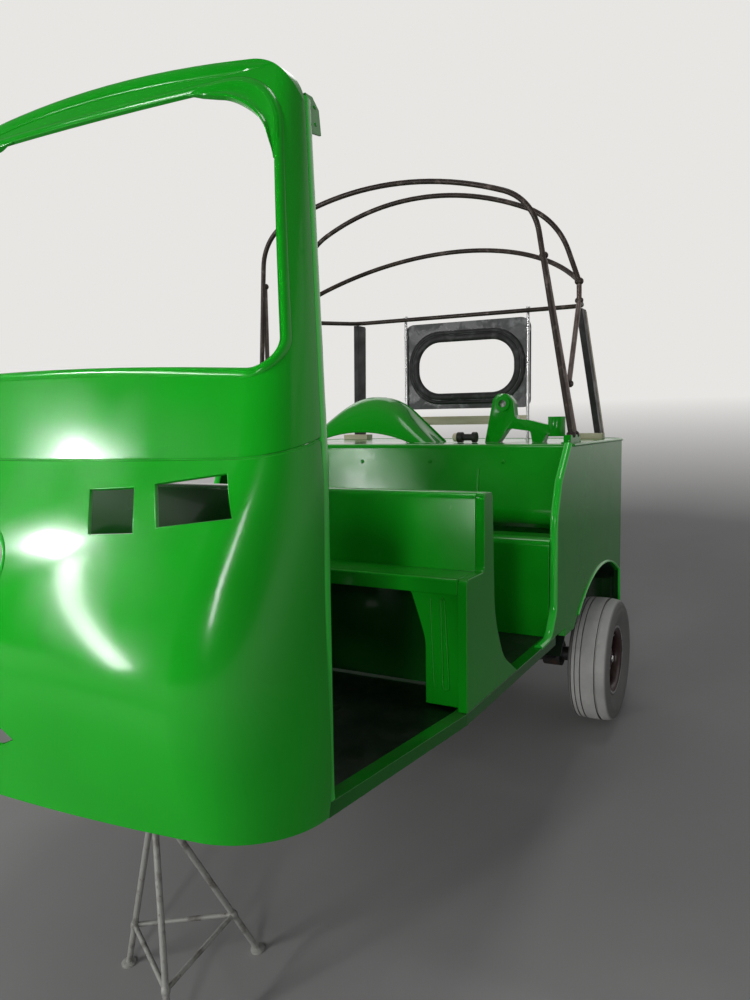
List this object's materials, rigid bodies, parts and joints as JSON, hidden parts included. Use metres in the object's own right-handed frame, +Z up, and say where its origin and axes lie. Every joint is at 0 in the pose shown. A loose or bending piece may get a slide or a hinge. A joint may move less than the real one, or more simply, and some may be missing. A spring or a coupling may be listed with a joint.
{
  "type": "three-wheel auto rickshaw body on a stand",
  "caption": "Stripped three-wheel passenger vehicle body with rear wheels, bare hood frame and engine lid, parked nose-up on a tripod.",
  "frame": {"origin": "on the ground under the middle of the whole, vehicle and tripod together", "axes": "+X towards the nose along the ground, +Y to the vehicle's left, +Z up"},
  "size_m": [2.2778, 1.31, 1.878],
  "materials": {
    "green_paint": "fresh high-gloss green enamel with reflections and slight orange peel",
    "inner_paint": "dark green-black inner paint with dust",
    "chassis_paint": "satin dark chassis paint, worn",
    "tyre": "worn grey rubber with grooves filled with dust",
    "rim": "dark maroon paint, dusty, bright worn rim edge",
    "hood_rod": "dark brown-black rods, paint worn to steel",
    "board": "black covering with cream wooden edges",
    "dusty_panel": "black sheet greyed by dust and smears",
    "seal_rubber": "black rubber, dull",
    "bright_metal": "bright plated tube",
    "stand_paint": "thin grey-white paint, scuffed",
    "engine": "plain oily casting",
    "cream_wood": "bare cream wood"
  },
  "bodies": {
    "body": {"arch_liners": "inner_paint", "backrest_panel": "green_paint", "chassis_rails": "chassis_paint", "cross_members": "chassis_paint", "door_edges": "green_paint", "driver_partition": "green_paint", "engine_block": "engine", "floor_pan": "inner_paint", "hood_bow_front": "hood_rod", "hood_bow_middle": "hood_rod", "hood_bow_rear": "hood_rod", "hood_braces": "hood_rod", "hood_legs": "hood_rod", "hood_pivots": "green_paint", "hood_rail_rear": "hood_rod", "lid_hinges": "green_paint", "loose_bolt": "chassis_paint", "loose_fork": "green_paint", "loose_mudguard": "green_paint", "nose_panel": "green_paint", "quarter_panel_left": "green_paint", "quarter_panel_right": "green_paint", "rear_deck": "green_paint", "rear_riser": "green_paint", "seat_legs": "green_paint", "seat_shelf": "green_paint", "shocks": "chassis_paint", "side_boards": "board", "side_stub_left": "green_paint", "side_stub_right": "green_paint", "sills": "green_paint", "stand_head": "stand_paint", "stand_tripod": "stand_paint", "steering_head": "chassis_paint", "tail_panel": "green_paint", "toe_board": "inner_paint", "trailing_arms": "chassis_paint", "window_panel": "dusty_panel", "window_poles": "bright_metal", "window_seal": "seal_rubber", "windscreen_frame": "green_paint", "wood_strip": "cream_wood"},
    "wheel_left": {"rim_left": "rim", "tyre_left": "tyre"},
    "wheel_right": {"rim_right": "rim", "tyre_right": "tyre"},
    "lid": {"engine_lid": "green_paint"}
  },
  "joints": [
    {"name": "wheel_left_spin", "type": "hinge", "parent": "body", "child": "wheel_left", "pos_m": [-0.6851, 0.585, 0.205], "axis": [0, 1, 0], "continuous": true},
    {"name": "wheel_right_spin", "type": "hinge", "parent": "body", "child": "wheel_right", "pos_m": [-0.6851, -0.585, 0.205], "axis": [0, 1, 0], "continuous": true},
    {"name": "engine_lid_hinge", "type": "hinge", "parent": "body", "child": "lid", "pos_m": [-1.1256, 0, 0.7933], "axis": [0, 1, 0], "range_deg": [0, 75]}
  ]
}
